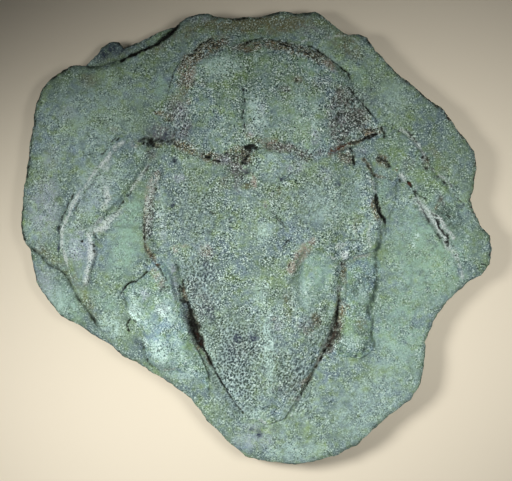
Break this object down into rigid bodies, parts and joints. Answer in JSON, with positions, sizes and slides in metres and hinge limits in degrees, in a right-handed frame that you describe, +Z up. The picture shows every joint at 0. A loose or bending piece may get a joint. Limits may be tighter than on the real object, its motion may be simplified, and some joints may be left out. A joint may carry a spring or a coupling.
{
  "type": "bothriolepis fossil",
  "caption": "Loose slab of grey-green siltstone with the armour of a small Devonian fish in relief: arched head shield, tapering trunk shield, flank plates and jointed fins. Lies flat.",
  "frame": {"origin": "middle of the slab's flat underside", "axes": "+Z up out of the split face, +Y towards the animal's head, +X to the right in the picture"},
  "size_m": [0.208, 0.2, 0.0264],
  "materials": {
    "siltstone": "matte",
    "head_bone": "matte",
    "trunk_bone": "matte",
    "side_bone": "matte",
    "fin_bone": "matte"
  },
  "bodies": {
    "root": {"matrix_slab": "siltstone", "head_shield": "head_bone", "trunk_shield": "trunk_bone", "left_side_plate": "side_bone", "right_side_plate": "side_bone", "left_fin_upper": "fin_bone", "left_fin_lower": "fin_bone", "right_fin_upper": "fin_bone", "right_fin_lower": "fin_bone"}
  },
  "joints": []
}
